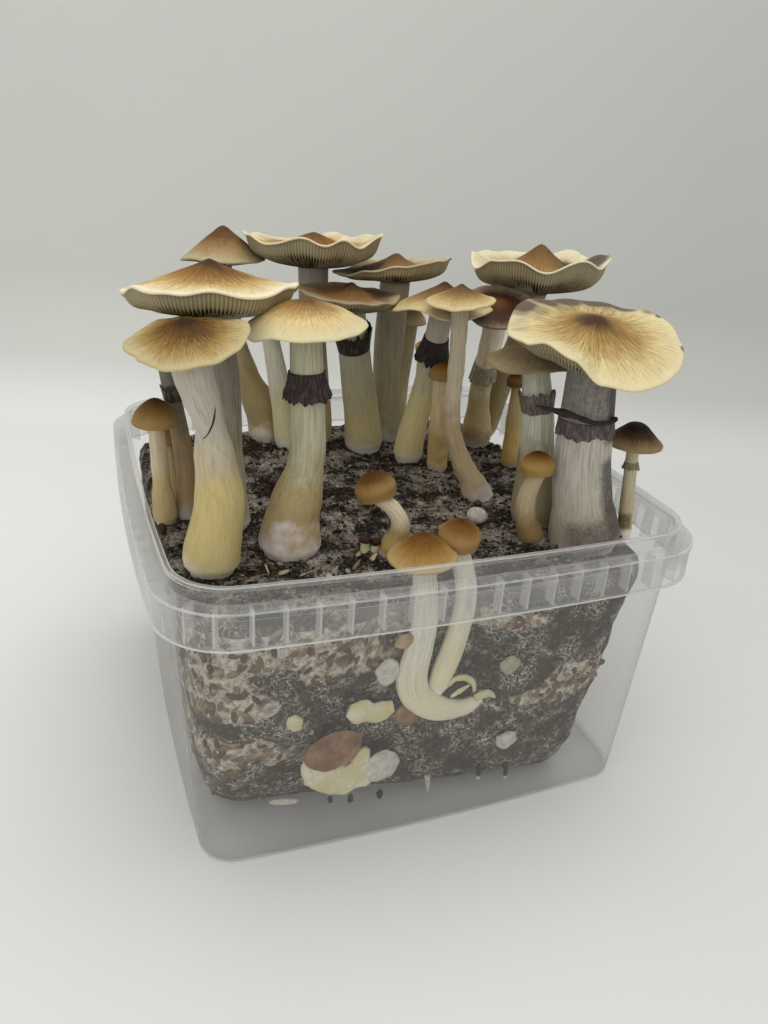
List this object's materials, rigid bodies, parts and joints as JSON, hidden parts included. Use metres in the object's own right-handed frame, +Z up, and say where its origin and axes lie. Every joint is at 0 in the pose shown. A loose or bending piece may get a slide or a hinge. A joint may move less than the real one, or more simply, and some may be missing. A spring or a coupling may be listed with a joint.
{
  "type": "mushroom grow kit",
  "caption": "Square see-through food tub with a hanging rim skirt, holding a block of colonised grain and dark soil with a flush of golden-capped ringed mushrooms growing from it.",
  "frame": {"origin": "centre of the tub's underside, on the surface it stands on", "axes": "+Z up; the tub is square and -Y is its front side, where two mushrooms grow up between block and wall; +X to the right"},
  "size_m": [0.2213, 0.2006, 0.1974],
  "materials": {
    "tub": "moulded translucent polypropylene, slightly milky",
    "substrate": "rough dark soil over tan grain bound by white mycelium",
    "stem": "matt fibrous mushroom stem, grey-white above, straw yellow below",
    "cap_gold": "satin mushroom cap, tan centre fading to a cream margin",
    "cap_brown": "satin brown mushroom cap",
    "cap_amber": "satin chestnut cap of a young mushroom",
    "cap_umber": "matt umber cap dusted with purple-brown spores",
    "pin": "matt white young mushroom"
  },
  "bodies": {
    "root": {"tub": "tub", "substrate": "substrate", "back_left_cap": "cap_brown", "back_left_stem": "stem", "left_wavy_cap": "cap_gold", "left_wavy_stem": "stem", "left_front_cap": "cap_gold", "left_front_stem": "stem", "left_thin_cap": "cap_brown", "left_thin_stem": "stem", "front_ringed_cap": "cap_gold", "front_ringed_stem": "stem", "back_upturned_cap": "cap_gold", "back_upturned_stem": "stem", "back_purple_cap": "cap_umber", "back_purple_stem": "stem", "back_small_cap": "cap_brown", "back_small_stem": "stem", "back_grey_cap": "cap_umber", "back_grey_stem": "stem", "middle_ringed_cap": "cap_gold", "middle_ringed_stem": "stem", "tall_thin_cap": "cap_gold", "tall_thin_stem": "stem", "young_middle_cap": "cap_amber", "young_middle_stem": "stem", "young_back_cap": "cap_gold", "young_back_stem": "stem", "thin_back_cap": "cap_amber", "thin_back_stem": "stem", "dark_tilted_cap": "cap_umber", "dark_tilted_stem": "stem", "right_umbo_cap": "cap_gold", "right_umbo_stem": "stem", "right_big_cap": "cap_gold", "right_big_stem": "stem", "young_right_cap": "cap_amber", "young_right_stem": "stem", "right_middle_cap": "cap_umber", "right_middle_stem": "stem", "button_right_cap": "cap_amber", "button_right_stem": "stem", "small_dark_cap": "cap_umber", "small_dark_stem": "stem", "button_left_cap": "cap_amber", "button_left_stem": "stem", "button_left_back_cap": "cap_amber", "button_left_back_stem": "stem", "button_front_cap": "cap_amber", "button_front_stem": "stem", "edge_golden_cap": "cap_amber", "edge_golden_stem": "stem", "edge_round_cap": "cap_amber", "edge_round_stem": "stem", "pressed_cap": "cap_brown", "pressed_stem": "stem", "flattened_cap": "cap_brown", "flattened_stem": "stem", "dark_pin": "cap_umber", "white_pin": "pin"}
  },
  "joints": []
}
